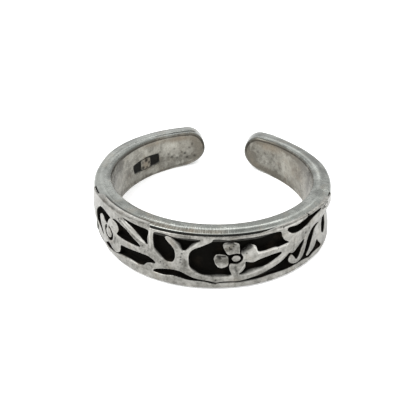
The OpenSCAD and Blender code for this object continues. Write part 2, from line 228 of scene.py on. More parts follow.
# %% Distance to an outline
def outline_distance(points, outline):
    """Distance from each point to the closest side of the outline, negative inside by the even-odd rule,
    with the closest point itself. Points over 0.6 mm away from the outline's box keep a large distance."""
    near = np.all((points > outline.min(0) - 0.6) & (points < outline.max(0) + 0.6), axis=1)
    point = points[near]
    best = np.full(len(point), 1e9)
    foot = point.copy()
    inside = np.zeros(len(point), bool)
    for start, end in zip(outline, np.roll(outline, -1, axis=0)):
        side = end - start
        away = point - start
        share = np.clip(away @ side / max(side @ side, 1e-12), 0, 1)
        on_side = start + share[:, None] * side
        square = ((point - on_side) ** 2).sum(1)
        closer = square < best
        best = np.where(closer, square, best)
        foot = np.where(closer[:, None], on_side, foot)
        if side[1] != 0:
            crosses = (start[1] > point[:, 1]) != (end[1] > point[:, 1])
            inside ^= crosses & (point[:, 0] < side[0] * away[:, 1] / side[1] + start[0])
    distance = np.full(len(points), 5.0)
    closest = points.copy()
    distance[near] = np.where(inside, -1, 1) * np.sqrt(best)
    closest[near] = foot
    return distance, closest


# %% Hollows joined, and petals cut out of them
def joined(one, other):
    """Both areas together: the smaller distance wins, with its closest point."""
    first = one[0] < other[0]
    return np.where(first, one[0], other[0]), np.where(first[:, None], one[1], other[1])


def without(one, other):
    """The first area less the other: the larger of the first distance and the other's negative one."""
    first = one[0] > -other[0]
    return np.where(first, one[0], -other[0]), np.where(first[:, None], one[1], other[1])


def all_hollows(points):
    """Distance to the edge of the nearest hollow, positive on the metal that stands up."""
    def area(outline):
        return outline_distance(points, placed(softened(outline, 2)))

    def disc(heart, which):
        return outline_distance(points, round_outline(heart, which))

    total = area(PLAIN_HOLLOWS[0])
    for outline in PLAIN_HOLLOWS[1:]:
        total = joined(total, area(outline))
    left_groove = without(disc(LEFT_HEART, 4), disc(LEFT_HEART, 2))
    total = joined(total, without(left_groove, area(HEART_BRIDGE)))
    petals = without(joined(area(UPPER_PETAL), area(LEFT_PETAL)), disc(RIGHT_HEART, 4))
    garden = without(joined(area(GARDEN), disc(RIGHT_HEART, 4)), petals)
    return joined(total, without(garden, disc(RIGHT_HEART, 2)))


def snapped(points, distance, closest, level, reach):
    """Points whose distance is within reach of the level slide along the line to their closest point until
    it is exactly the level, so that an edge of the mesh runs along the outline instead of in steps."""
    away = points - closest
    length = np.sqrt((away ** 2).sum(1))
    size = np.where(length < 1e-9, 1, length)
    wanted = closest + away / size[:, None] * abs(level)
    chosen = (np.abs(distance - level) < reach) & ((length > 1e-9) | (level == 0))
    return np.where(chosen[:, None], wanted, points), np.where(chosen, level, distance)


# %% [markdown]
# ## Small marks on the metal
# The petals carry creases and the casting has pits. Each is one row of a short table: a line from one place
# to another with a width and a depth, where a negative depth is a ridge. Highlights along the twigs' edges
# and shade in the dished petals are painted on from a table of the same kind.
# Heights are in hundredths of half the field again.

# %% Creases, beads and pits of the ornament
# angle, height, angle, height, half width mm, depth mm, how black its bottom is
CREASES = [
    [-37, 85, -31.5, 62, 0.1, 0.05, 0.5], [-31.5, 62, -26, 42, 0.09, 0.04, 0.4],
    [-42.5, -10, -43.5, -35, 0.16, 0.04, 0.4], [10.4, 22, 11.4, 16, 0.16, 0.1, 0.8],
    [11.2, 23, 13.8, 21, 0.12, 0.08, 0.9], [15.3, 58, 15.6, 52, 0.06, 0.06, 0.9],
    [15.6, 49, 16.5, 50, 0.06, 0.06, 0.9], [17.3, 67, 18.3, 66, 0.06, 0.06, 0.8],
    [17.2, 60, 17.4, 58, 0.06, 0.06, 0.8], [14.8, 73, 17.2, 71, 0.12, 0.1, 0.9],
    [13.2, 70, 14, 72, 0.1, 0.05, 0.6], [21.8, 36, 24.4, 46, 0.26, 0.22, 1],
    [24, 44, 25.5, 50, 0.18, 0.22, 1], [41, 97.5, 48, 98.5, 0.05, 0.04, 0.8],
    [50, 98.5, 57, 96.5, 0.05, 0.04, 0.8], [58.2, 92, 58.9, 88, 0.07, 0.05, 0.9],
    [59.5, 96.5, 66, 95, 0.045, 0.04, 0.7], [73, 78.5, 73.4, 78.5, 0.13, -0.05, 0],
    [18.2, -25, 19.2, -50, 0.14, 0.05, 0.45], [48, 30, 47.8, -20, 0.08, 0.03, 0.3]]
# angle, height, half width in degrees, half height, of the small beads at the right end
BEADS = [[73.2, 78.5, 2.2, 7.5], [69.9, 81, 1.1, 5]]
# angle, height, radius mm, depth mm, how black
PITS = [
    [-44.8, 25, 0.11, 0.05, 0.8], [-39.2, 78, 0.12, 0.05, 0.9], [-38.2, 72, 0.11, 0.05, 0.9],
    [-24.7, 17, 0.1, 0.04, 0.7], [-15.5, -25, 0.1, 0.04, 0.7], [9.6, -74, 0.12, 0.05, 0.9],
    [1.5, -87, 0.12, 0.03, 0.5], [-6.5, -73, 0.1, 0.03, 0.5], [-5.5, 25, 0.1, 0.04, 0.8],
    [-6, 10, 0.1, 0.04, 0.8], [-6, 0, 0.1, 0.04, 0.8], [-6.2, -10, 0.1, 0.04, 0.7],
    [23.3, 27, 0.1, 0.05, 0.8], [41, 95, 0.11, 0.05, 0.9], [48, 100, 0.11, 0.05, 0.8],
    [65.5, -15, 0.09, 0.03, 0.5], [55.5, 30, 0.14, 0.04, 0.5], [58, 42, 0.14, 0.04, 0.5],
    [-23.5, -5, 0.1, 0.04, 0.7], [-21.8, 5, 0.09, 0.03, 0.6], [-14, -30, 0.09, 0.03, 0.6],
    [-4.2, 2, 0.09, 0.03, 0.6], [-12.5, -33, 0.1, 0.03, 0.6]]

# %% Painted glints and shade, and worn walls of the ornament
# angle, height, angle, height, half width mm, how much brighter the metal is painted there: above 0 a
# painted highlight on an edge, a crest or the bead, below 0 painted shade that makes it duller
GLINTS_AND_SHADE = [
    [-36.5, 80, -24, 34, 0.16, 1.2], [-42, 30, -27, -5, 0.22, 0.3], [-36.5, 68, -27, 30, 0.1, -0.5],
    [-20.8, 85, -20.6, 20, 0.09, 0.8], [-19.4, 85, -19.5, 30, 0.07, -0.4], [-13, 78, -9.5, 45, 0.08, 0.6],
    [25.9, 53, 27.3, 46, 0.13, 1.3], [27.3, 46, 28.8, 22, 0.11, 1.1], [29, 20, 44, 21, 0.11, 1.1],
    [33.5, 24, 38.5, 22, 0.07, 0.9], [38, 93, 52, 93, 0.12, 0.7], [72.8, 78.5, 73.6, 78.5, 0.12, 1.6],
    [58, 99, 82, 95, 0.14, -0.3], [13, 55, 19.5, 48, 0.42, -0.45], [9.5, 5, 14.5, 5, 0.42, -0.5],
    [-21, 70, -21, 10, 0.3, -0.25], [-13, -20, -9, -62, 0.45, -0.45], [-4.5, 0, -4.5, -40, 0.3, -0.3],
    [-5, 88, 3, 84, 0.35, -0.45], [8.8, 0, 10.5, -20, 0.09, 0.7], [20, -45, 22.7, -16, 0.09, 0.6],
    [44, 62, 57, 52, 0.08, 0.5], [-50.5, -27, -47, -25, 0.1, 0.5], [-58, 10, -55.5, 20, 0.1, 0.4],
    [24, -60, 43, -20, 0.1, 0.4]]
# angle, height, half width in degrees, half height, how worn the wall is, how much wider it is in mm
WORN_WALLS = [
    [-16.8, 5, 3, 24, 0.35, 0.12], [-6.8, 55, 1.8, 22, 0.6, 0.08], [-1.2, 62, 2.6, 22, 0.6, 0.1],
    [0, -40, 3, 12, 0.35, 0.06], [11, -58, 6, 8, 0.7, 0.1], [27, -50, 6, 11, 0.8, 0.22],
    [-32, -68, 9, 8, 0.3, 0.05], [20, -85, 9, 6, 0.3, 0.03]]


# %% From the tables to depths and masks
def hill(square, reach):
    """A smooth hill of height 1 from the square of a distance: (1 - square/reach^2)^2, and 0 past the
    reach."""
    return np.clip(1 - square / reach ** 2, 0, 1) ** 2


def line_marks(points, rows, to_mm=placed):
    """Depth and blackness of all charted lines: each is a smooth hill across its width, and the depths add
    up. to_mm turns the two places of a row into mm."""
    depth = np.zeros(len(points))
    black = np.zeros(len(points))
    for *ends, width, deep, dark in rows:
        start = to_mm(ends[:2])
        line = to_mm(ends[2:]) - start
        along = np.clip(((points - start) @ line) / max(line @ line, 1e-9), 0, 1)
        rise = hill(((points - start - along[:, None] * line) ** 2).sum(1), width)
        depth += deep * rise
        black = np.maximum(black, dark * rise)
    return depth, black


def dots_as_lines(rows):
    """A pit is a line of no length."""
    return [[angle, height, angle, height, *rest] for angle, height, *rest in rows]


def rings_as_lines(rows):
    """The dark ring round a bead is eight short lines round an ellipse."""
    turn = np.radians(np.arange(0, 361, 45))
    lines = []
    for angle, height, wide, tall in rows:
        x = angle + wide * np.cos(turn)
        y = height + tall * np.sin(turn)
        lines += [[x[i], y[i], x[i + 1], y[i + 1], 0.07, 0.05, 0.95] for i in range(8)]
    return lines


def spots(points, rows):
    """Soft elliptic spots: each amount times exp(-(x/half width)^2 - (y/half height)^2), added up."""
    total = np.zeros(len(points))
    for *middle, wide, tall, amount in rows:
        x, y = ((points - placed(middle)) / [wide * MM_PER_DEGREE, tall / 100 * FIELD_HALF]).T
        total += amount * np.exp(-x * x - y * y)
    return total


print("lines:", len(CREASES), " pits:", len(PITS), " glints:", len(GLINTS_AND_SHADE))

# %% [markdown]
# ## The panel
# On the real ring this is a sheet of silver about half a millimetre thick with the ornament pressed
# through. Here it is one curved grid. Its radius is the rubbed top, less the brim's rounding, the wall and
# the floor that the distance gives, less the small marks. The last rows fold round behind the sheet, so
# that a dark slot stays open between the sheet and the band in the places where the photo shows one.

# %% Two smooth steps
def ease(low, high, value):
    """0 below low, 1 above high, and the smooth cubic 3t^2 - 2t^3 in between. With low above high it falls
    instead."""
    t = np.clip((value - low) / (high - low), 0, 1)
    return t * t * (3 - 2 * t)


def window(low, high, soft, value):
    """1 between low and high, falling smoothly to 0 over the soft distance outside them."""
    return ease(low - soft, low, value) * (1 - ease(high, high + soft, value))


# %% Edges of the sheet, and how far it stands off its even radius
def middle_seam(angle):
    """1 where the seam along the upper edge stands open in the middle, 0 elsewhere."""
    return ease(-21.5, -19.5, angle) * (1 - ease(28, 42, angle))


def end_seams(angle):
    """1 where the sheet's two ends stand off the band, 0 elsewhere."""
    return ease(-56, -60, angle) + ease(75.5, 78.5, angle)


def panel_edge(angle):
    """Height of the sheet's upper edge: just below the band's upper face where solder closes the seam, and
    lower where the seam is open."""
    return face_height(PANEL_R, angle) - 0.02 - 0.18 * middle_seam(angle) - 0.05 * end_seams(angle)


def panel_foot(angle):
    """Height of the sheet's lower edge: a little in from the band's lower face."""
    return -(face_height(PANEL_R, angle) - 0.12)


def foot_lean(angle):
    """How far the foot of the sheet and of the band stands out, in mm: rubbed in on the left, out on the
    right."""
    return np.interp(angle, [-67, -60, -52, -45, -37, -28, 15, 30, 45, 58, 68, 76, 82],
                     [0, -0.04, -0.1, -0.11, -0.05, 0, 0.02, 0.09, 0.12, 0.15, 0.16, 0.08, 0])


def flare(angle, height):
    """How far the sheet stands off its even radius, in mm: at both ends it bulges and pulls in by height,
    and along the foot it leans."""
    left = np.interp(height, [-2, -1.4, -0.9, -0.3, 0.6, 1.7, 2], [-0.13, -0.2, -0.1, 0.05, 0.1, 0.02, 0])
    right = np.interp(height, [-2, -1.4, -0.9, -0.4, 0, 0.3, 0.8, 1.2, 1.6],
                      [0.06, 0.06, 0.01, -0.08, -0.18, -0.22, -0.04, 0.11, 0.08])
    ends = ease(-48, -58, angle) * left + ease(58, 70, angle) * right
    return ends + foot_lean(angle) * ease(-1.45, -2.0, height)


# %% Measures of the sheet, and an uneven surface
PANEL_COLUMNS = 660
FRONT_ROWS = 122
# In mm: rounding of the sheet's long edges, width and drop of a hollow's rubbed brim, width of its wall,
# and how much lower the sheet sits so that its unevenness stays inside the ring's outline
EDGE_ROUND = 0.07
BRIM_WIDTH = 0.11
BRIM_DROP = 0.035
WALL_WIDTH = 0.055
SPARE = 0.012


def unevenness(along, across, length, seed):
    """Hand finished metal is never even: the sum of eight sine waves in seeded directions, whose lengths
    lie round the given one, scaled to stay mostly within -1 and 1."""
    rng = np.random.default_rng(seed)
    total = np.zeros(np.broadcast(along, across).shape)
    for _ in range(8):
        direction = rng.uniform(0, math.pi)
        wave = length * rng.uniform(0.7, 1.6)
        phase = rng.uniform(0, 2 * math.pi)
        distance = along * math.cos(direction) + across * math.sin(direction)
        total = total + np.sin(2 * math.pi * distance / wave + phase)
    return total / 4


# %% The front of the sheet
def sheet_front(angle):
    """Columns by angle and rows by height, with their points snapped to the outlines and to the foot of the
    walls. The radius is the rubbed top less the depth, which follows the brim's rounding outside an outline
    and a straight wall down to the floor inside it, plus the marks, the unevenness and the flare."""
    high = panel_edge(angle) - EDGE_ROUND
    low = panel_foot(angle) + EDGE_ROUND
    across = low[:, None] + (high - low)[:, None] * np.linspace(0, 1, FRONT_ROWS)
    along = np.repeat((angle * MM_PER_DEGREE)[:, None], FRONT_ROWS, axis=1)
    points = np.stack([along, across], -1).reshape(-1, 2)
    distance, closest = all_hollows(points)
    half_cell = 0.5 * (angle[1] - angle[0]) * MM_PER_DEGREE
    for level in (0.0, -WALL_WIDTH):
        points, distance = snapped(points, distance, closest, level, half_cell)
    brim = BRIM_DROP * np.clip(1 - distance / BRIM_WIDTH, 0, 1) ** 2
    wider = spots(points, [[*row[:4], row[5]] for row in WORN_WALLS])
    wall = np.clip(-distance / (WALL_WIDTH + wider), 0, 1)
    sink = np.where(distance > 0, brim, BRIM_DROP + (PANEL_R - FLOOR_R - BRIM_DROP) * wall)
    marks, black = line_marks(points, CREASES + dots_as_lines(PITS) + rings_as_lines(BEADS))
    depth = np.minimum(sink + marks * (wall < 0.5), PANEL_R - FLOOR_R)
    uneven = 0.008 * unevenness(points[:, 0], points[:, 1], 1.5, 3) * (wall < 0.5)
    angles = points[:, 0] / MM_PER_DEGREE
    radius = PANEL_R - depth + uneven - SPARE + flare(angles, points[:, 1])
    # tone: painted highlights and shade from the table, plus a bright line just outside each brim that is
    # painted highlight on the rounded edge together with rubbed metal
    painted_light = line_marks(points, [[*row, 0] for row in GLINTS_AND_SHADE])[0]
    brim_highlight_and_wear = 0.35 * np.clip(1 - np.abs(distance - 0.05) / 0.05, 0, 1)
    worn = np.clip(spots(points, [row[:5] for row in WORN_WALLS]), 0, 1)
    front = {"angle": angles, "radius": radius, "height": points[:, 1], "black": black,
             "tone": painted_light + brim_highlight_and_wear, "sink": sink, "worn": worn}
    return {name: values.reshape(along.shape) for name, values in front.items()}


# %% The rows behind the sheet
# From the upper edge down: how black each row is in the open seam, and its tone on the left and the right.
# On the left the tones paint bright streaks and lines of shade along the seam, on the right they make the
# strip duller
FOLD_BLACK = np.array([0, 0, 0, 0, 0.6, 1, 1, 1, 1, 1, 0.8, 0.3, 0, 0, 0])
FOLD_TONE_LEFT = np.array([0, -0.2, -0.4, 0.6, 0.3] + [0] * 10)
FOLD_TONE_RIGHT = np.array([-0.2, -0.3, -0.3, -0.3, -0.3] + [0] * 10)
FOLD_BENDS = np.radians([30, 60, 90])


def sheet_back(angle, edge_top, edge_low):
    """Each row is a radius and a height: a quarter circle round the upper edge, then back to the closed
    seam or down into the open one, down behind the sheet, and a quarter circle round the lower edge."""
    seam = np.clip(middle_seam(angle) + end_seams(angle), 0, 1)
    closed = 8.42 + 0.24 * ease(0, 40, angle)
    back = closed + (8.80 + 0.11 * ease(70, 77, angle) - closed) * seam
    top = panel_edge(angle)
    foot = panel_foot(angle)
    lip = edge_top - EDGE_ROUND
    drop = EDGE_ROUND * (1 - np.cos(FOLD_BENDS))
    rise = EDGE_ROUND * np.sin(FOLD_BENDS)
    rows = [[edge_top - drop[i], top - EDGE_ROUND + rise[i]] for i in (0, 1, 2)]
    rows += [[back + 0.3 * (lip - back), top], [back + 0.1 * (lip - back), top - 0.005],
             [back, top - 0.03], [back, top - 0.4], [8.3, top - 0.5], [8.3, foot + 0.55],
             [8.6, foot + 0.45], [8.74 + foot_lean(angle), foot + 0.03], [8.77 + foot_lean(angle), foot]]
    rows += [[edge_low - drop[i], foot + EDGE_ROUND - rise[i]] for i in (2, 1, 0)]
    hidden = (np.arange(len(rows)) < 6) * (1 - np.maximum(seam, 0.2))[:, None]
    black = FOLD_BLACK * (1 - hidden) * (1 - 0.14 * middle_seam(angle))[:, None]
    tone = FOLD_TONE_LEFT * window(-52, -24, 4, angle)[:, None]
    tone = tone + FOLD_TONE_RIGHT * window(52, 84, 8, angle)[:, None]
    radius, height = [np.stack([row[i] + 0 * angle for row in rows], 1) for i in (0, 1)]
    return {"angle": 0 * black + angle[:, None], "radius": radius, "height": height, "black": black,
            "tone": tone, "sink": np.full(black.shape, 0.03), "worn": np.zeros(black.shape)}


# %% The whole sheet, with both ends dipping into the band so that it ends in a rounded edge
sheet_angle = np.linspace(PANEL_LEFT, PANEL_RIGHT, PANEL_COLUMNS)
front = sheet_front(sheet_angle)
back = sheet_back(sheet_angle, front["radius"][:, -1], front["radius"][:, 0])
sheet = {name: np.concatenate([front[name], back[name]], 1) for name in front}
to_end = np.minimum(sheet_angle - PANEL_LEFT, PANEL_RIGHT - sheet_angle) * MM_PER_DEGREE
dip = 0.32 * np.clip(1 - to_end / 0.14, 0, 1) ** 2
sheet["radius"] = np.maximum(sheet["radius"] - dip[:, None], 8.25)
print("panel grid:", sheet["radius"].shape)

# %% [markdown]
# ## The band
# A jeweller would bend it from a strip. Here its section is a loop of rows carried round the ring. Every
# row has an inset from the band's outline and a radius, so the rounding of the long edges also goes round
# the tips: there the outline is an arc, and each row follows a slightly smaller arc.

# %% Stations round the ring and rows round the section
ROWS_ABOVE = (28, 6, 30, 7, 10)
ROWS_BELOW = (28, 5, 8, 6, 6)


def band_stations():
    """Angles of the stations between the tips, closer together where the struck mark is, and the tips' own
    stations as the angle round their arc."""
    plain = np.arange(-TIP_CENTRE, TIP_CENTRE, 0.62)
    plain = plain[(plain < -140) | (plain > -112)]
    middle = np.sort(np.concatenate([plain, np.arange(-140, -112, 0.3), [TIP_CENTRE]]))
    round_tip = np.linspace(0, 90, 26)[1:]
    angle = np.concatenate([np.full(25, -TIP_CENTRE), middle, np.full(25, TIP_CENTRE)])
    theta = np.concatenate([-round_tip[::-1], np.zeros(len(middle)), round_tip])
    return angle, theta


def section_rows(counts):
    """The half section from the middle of the inner wall over a face to the middle of the outer wall. The
    part of a row is 0 on the inner wall, 1 on the inner rounding, 2 on the face, 3 on the outer rounding
    and 4 on the outer wall, and its share runs from 0 to 1 along that part."""
    part = np.repeat(np.arange(5), counts)
    share = np.concatenate([np.linspace(0, 1, count + 1)[:-1] for count in counts])
    return np.append(part, 4), np.append(share, 1)


# %% Outlines of the band
# angle, outer radius of the arms in mm, as the photo's silhouette shows it
ARM_OUTLINE = [
    [-167, 9.04], [-150, 9.09], [-136, 9.04], [-118, 8.97], [-106, 8.89], [-98, 8.79], [-90, 8.74],
    [-82, 8.76], [-74, 8.8], [-66, 8.84], [80, 8.95], [86, 8.88], [92, 8.85], [104, 8.85], [112, 8.88],
    [124, 8.81], [140, 8.83], [150, 8.98], [157, 9.12], [167, 9.1]]
# angle, radius of the rounding along the upper inner edge in mm
INNER_EDGE = [
    [-167, 0.34], [-158, 0.24], [-150, 0.16], [-128, 0.2], [-105, 0.3], [-85, 0.26], [-60, 0.15],
    [-30, 0.11], [30, 0.11], [60, 0.12], [90, 0.16], [115, 0.2], [150, 0.2], [158, 0.26], [167, 0.34]]
# How far the tips reach beyond their centres, how much further their outer edges reach on the left and the
# right, and the half length of the ellipses that end their upper and lower faces, in mm
TIP_REACH = 1.70
TIP_LEAN = (0.20, 0.50)
TIP_ABOVE = 1.35
TIP_BELOW = 1.95
# In mm: how much deeper the outer wall lies behind the panel, how far it pulls in past the panel's right
# end, and how far the upper face falls towards its outer edge on the arms and in front
BEHIND_PANEL = 0.36
WAIST = 0.22
ARM_CROWN = 0.05
FRONT_FALL = 0.07


# %% Section of the band
def band_section(side, part, share, station):
    """Radius and inset of every row of the upper half (side 1) or the lower half (-1). The radius runs from
    the inner wall over the face to the outer wall, and the inset is how far a row lies in from the face.
    Both follow a quarter circle along each rounded edge. Behind the panel the outer wall lies deeper."""
    parts = [part == number for number in range(5)]
    from_front = np.abs(station)
    in_panel = window(PANEL_LEFT + 0.5, PANEL_RIGHT - 0.5, 1.5, station)
    round_in = 0.06 + 0.28 * ease(140, 164, from_front)
    rim = 8.70 + foot_lean(station)
    if side > 0:
        round_in = np.interp(station, *np.array(INNER_EDGE).T)
        rim = 8.70 - 0.06 * middle_seam(station) + 0.14 * ease(70, 77, station)
    round_out = 0.24 - 0.19 * in_panel - 0.11 * ease(150, 164, from_front)
    outer = np.interp(station, *np.array(ARM_OUTLINE).T) * (1 - in_panel) + rim * in_panel
    inner = INNER_R - 0.07 * (1 - ease(40, 80, from_front))
    sine = np.sin(np.radians(90 * share))
    cosine = np.cos(np.radians(90 * share))
    face = (outer - round_out) - (inner + round_in)
    wall = outer - BEHIND_PANEL * in_panel * ease(0.2, 0.28, share)
    radius = np.select(parts, [inner, inner + round_in * (1 - cosine), inner + round_in + face * share,
                               outer - round_out + round_out * sine, wall])
    inset = np.select(parts, [round_in, round_in * (1 - sine), 0, round_out * (1 - cosine), round_out])
    return radius, inset, in_panel


# %% The section carried round the ring and its tips
def half_band(side, counts, half_length):
    """Radius, angle, height, part, share and shadow of every row at every station. A tip's stations follow
    its arc, each row less its inset. The outer wall pulls in behind the panel's right end. The height is
    the sloping face's less the inset and the face's own fall, and follows an ellipse near the tip."""
    angle, theta = band_stations()
    station = angle[:, None]
    part, share = section_rows(counts)
    radius, inset, in_panel = band_section(side, part, share, station)
    reach = TIP_REACH + np.where(station < 0, *TIP_LEAN) * np.clip((radius - INNER_R) / 1.3, 0, 1)
    along = (reach - inset) * np.sin(np.radians(theta))[:, None]
    here = station + np.degrees(np.arcsin(np.clip(along / radius, -1, 1)))
    waist = window(84, 100, 6, here) * ((part == 4) * ease(0.1, 0.6, share))
    radius = radius - WAIST * waist
    crown = ARM_CROWN * np.clip((radius - 7.95) / 0.8, 0, 1) ** 2 * (1 - in_panel)
    slope = FRONT_FALL * np.clip((radius - 8.15) / 0.42, 0, 1) * in_panel
    edge = face_height(radius, here) - inset - (slope + crown) * (part >= 2) * (side > 0)
    past_centre = (np.abs(station) - TIP_CENTRE) * MID_R * math.pi / 180 + np.abs(along)
    run_out = np.clip((past_centre - (reach - half_length)) / (half_length - inset), 0, 1)
    full = np.where(np.abs(theta)[:, None] > 89.9, 0, edge * np.sqrt(1 - run_out ** 2))
    height = side * full * np.select([part == 0, part == 4], [share, 1 - share], 1.0)
    shadow = in_panel * (part == 4) * (1 - 0.14 * middle_seam(station))
    shadow = shadow + 0.5 * (in_panel * (1 - middle_seam(station))) * (part == 3) * share ** 3
    return np.broadcast_arrays(radius, here, height, part, share, shadow)


halves = half_band(1, ROWS_ABOVE, TIP_ABOVE), half_band(-1, ROWS_BELOW, TIP_BELOW)
band_radius, band_angle, band_height, band_part, band_share, band_shade_and_oxide = [
    np.concatenate([above, below[:, -2:0:-1]], 1) for above, below in zip(*halves)]
print("band grid:", band_radius.shape)

# %% [markdown]
# ## Wear and painted light on the band
# A worn ring has thin dark lines where the casting was filed, and stains inside. The bright and dull bands
# of the upper face and the dark rims at the tips and edges are painted highlights and shade. They are short
# tables again, which change the height, the radius and the masks.

# %% Lines and bands of the upper face
# angle, radius, angle, radius of thin lines on the upper face, half width mm, depth mm, how black. The
# last has no depth: it is painted shade along the right arm's inner edge.
FACE_LINES = [
    [-161, 7.98, -146, 7.94, 0.15, 0.06, 1], [-146, 7.94, -136, 7.97, 0.13, 0.05, 0.8],
    [-136, 7.97, -122, 8.08, 0.1, 0.03, 0.5], [-122, 8.08, -100, 8.2, 0.08, 0.02, 0.3],
    [-55, 8.4, -36, 8.34, 0.07, 0.04, 1], [-36, 8.34, -20, 8.38, 0.07, 0.04, 0.9],
    [-47, 8.3, -30, 8.24, 0.05, 0.02, 0.4], [150, 7.72, 120, 7.72, 0.07, 0, 0.3]]
# from angle, to angle, soft end in degrees, radius, half width mm, how much brighter or duller that band is:
# painted highlights and shade where the face's crown, bevels and slope catch or miss the light
LIT_AND_SHADED_BANDS = [
    [-34, 48, 14, 7.49, 0.16, -1.2], [-40, 44, 12, 7.85, 0.3, -0.65], [55, 168, 14, 8.15, 0.6, -0.45],
    [60, 112, 14, 8.1, 0.6, -0.25], [-170, -118, 10, 8.15, 0.6, -0.2], [-24, 38, 8, 8.16, 0.07, 1.1],
    [-22, 33, 5, 8.64, 0.035, 1.1], [-62, -22, 6, 8.22, 0.05, 0.4], [-58, -24, 8, 8.12, 0.05, -0.3],
    [62, 125, 12, 8.72, 0.17, -0.15], [70, 110, 12, 8, 0.25, 0.25], [98, 154, 8, 7.96, 0.12, 0.9],
    [100, 156, 8, 8.35, 0.12, -0.2], [-156, -100, 12, 8.72, 0.16, -0.15], [-156, -100, 12, 8.4, 0.16, 0.3],
    [-156, -100, 12, 8.2, 0.08, -0.25], [-150, -100, 12, 8.02, 0.12, 0.7], [-134, -76, 10, 7.6, 0.2, -0.85],
    [-100, -62, 10, 8.3, 0.09, 0.3], [-100, -64, 10, 8.05, 0.08, -0.3], [40, 66, 8, 8.25, 0.08, 0.3],
    [140, 163, 6, 7.62, 0.1, -0.4], [-163, -134, 6, 7.62, 0.08, -0.3]]

# %% Stains, painted shade and pits of the inner wall, and the struck mark
# angle, height mm, half width mm, half height mm, how warm and how dull the inner wall is there: warm spots
# and most dull ones are stains, and the dull spots at the tips and along the upper and lower edges are
# painted shade
STAINS_AND_SHADE = [
    [-151, 1.15, 1, 0.25, 0.5, 0.5], [-161, 0.9, 0.6, 0.4, 0.2, 0.5], [-162.5, -0.3, 0.5, 0.9, 0.1, 0.7],
    [-153, 0.4, 1.2, 0.5, 0.1, 0.1], [-140, 1.2, 1.2, 0.2, 0.2, 0.3], [-128, 1.3, 1, 0.2, 0.3, 0.3],
    [157, 1.3, 1, 0.3, 0.1, 0.7], [148, 1.05, 1.1, 0.35, 0.55, 0.1], [137, 1.35, 1.4, 0.2, 0.1, 0.8],
    [124, 1.25, 1.4, 0.2, 0.1, 0.6], [162, -0.3, 0.4, 0.8, 0.1, 0.7], [155, -1, 1, 0.25, 0.1, 0.7],
    [144, -1.2, 2, 0.2, 0.1, 0.7], [107, 0.8, 0.5, 0.9, 0, 0.9], [98, 0.9, 0.4, 0.9, 0, 0.5],
    [-110, -1.4, 1.5, 0.25, 0.1, 0.5], [-100, 1, 0.6, 0.9, 0, 0.9], [126, 0.2, 1.5, 0.8, 0.3, 0.05],
    [-146, -0.2, 1.6, 0.6, 0, 0.35], [134, -0.2, 1.6, 0.7, 0, 0.15], [112, 0.2, 0.9, 0.9, 0, 0.2],
    [-125.6, -0.27, 0.5, 0.5, 0.5, 0.9]]
# angle, height mm, radius mm, depth mm, how black, for pits of the inner wall
WALL_PITS = [
    [-145.3, -0.43, 0.19, 0.03, 0.65], [-154.2, -0.27, 0.17, 0.03, 0.7], [-155.5, -0.67, 0.19, 0.03, 0.6],
    [-152, -0.1, 0.15, 0.02, 0.5], [-147, 0.3, 0.16, 0.02, 0.4], [-143, -0.1, 0.15, 0.02, 0.4],
    [-157, 0.2, 0.15, 0.02, 0.5], [158, 0.3, 0.16, 0.02, 0.25], [150, -0.5, 0.16, 0.02, 0.2],
    [-126, 0.02, 0.26, 0, 0.9], [-123.2, -0.55, 0.24, 0, 0.9], [-128.2, -0.25, 0.18, 0, 0.8],
    [-126.5, -0.62, 0.16, 0, 0.7], [-123, -0.05, 0.15, 0, 0.6], [-159, 0.55, 0.17, 0.02, 0.5],
    [-149, -0.6, 0.17, 0.02, 0.5], [-160.5, -0.6, 0.2, 0.02, 0.5]]
# angle and height in mm of the recess inside the left arm, and of the plain bar that stands in it
MARK_RECESS = [
    [-136, 0.27], [-136.3, 0.1], [-136.5, -0.5], [-136, -0.64], [-131.9, -0.76], [-124.5, -0.78],
    [-120.7, -0.79], [-116.4, -0.76], [-115, -0.6], [-114.2, 0], [-114.8, 0.12], [-118.4, 0.2],
    [-125, 0.29], [-130, 0.28]]
MARK_BAR = [
    [-128.7, 0.16], [-129.3, 0.1], [-129.3, -0.64], [-128.7, -0.7], [-122.6, -0.7], [-122, -0.64],
    [-122, 0.1], [-122.6, 0.16]]
WALL_MM_PER_DEGREE = INNER_R * math.pi / 180


# %% The struck mark pressed into the wall
def struck_mark(radius, angle, height, part):
    """The mark is a shallow recess in the inner wall with a plain raised bar in its middle. Its edges are
    snapped like those of the hollows."""
    mm = WALL_MM_PER_DEGREE
    points = np.stack([angle * mm, height], -1).reshape(-1, 2)
    recess, bar = [outline_distance(points, softened(np.array(outline) * [mm, 1], 1))
                   for outline in (MARK_RECESS, MARK_BAR)]
    distance, closest = without(recess, bar)
    wall = (part.ravel() == 0) & (np.abs(points[:, 1]) < 1.4)
    moved, distance = snapped(points, np.where(wall, distance, 5.0), closest, 0.0, 0.02)
    depth = 0.12 * np.clip(-distance / 0.05, 0, 1)
    black = 0.93 * np.clip(-distance / 0.04, 0, 1)
    moved = np.where(wall[:, None], moved / [mm, 1], np.stack([angle, height], -1).reshape(-1, 2))
    return [values.reshape(radius.shape) for values in (radius.ravel() + depth, *moved.T, black)]


# %% Lines cut into the upper face, then the mark
upper_half = np.arange(band_part.shape[1]) < sum(ROWS_ABOVE) + 1
face_points = np.stack([band_angle * MM_PER_DEGREE, band_radius], -1).reshape(-1, 2)
face_marks = line_marks(face_points, FACE_LINES, lambda place: np.array(place) * [MM_PER_DEGREE, 1])
line_depth, line_black = [values.reshape(band_part.shape) * ((band_part == 2) & upper_half)
                          for values in face_marks]
band_height = band_height - line_depth
band_shade_and_oxide = np.maximum(band_shade_and_oxide, line_black)
band_radius, band_angle, band_height, band_black = struck_mark(
    band_radius, band_angle, band_height, band_part)
from_front = np.abs(band_angle)
print("points in the struck mark:", int((band_black > 0).sum()))
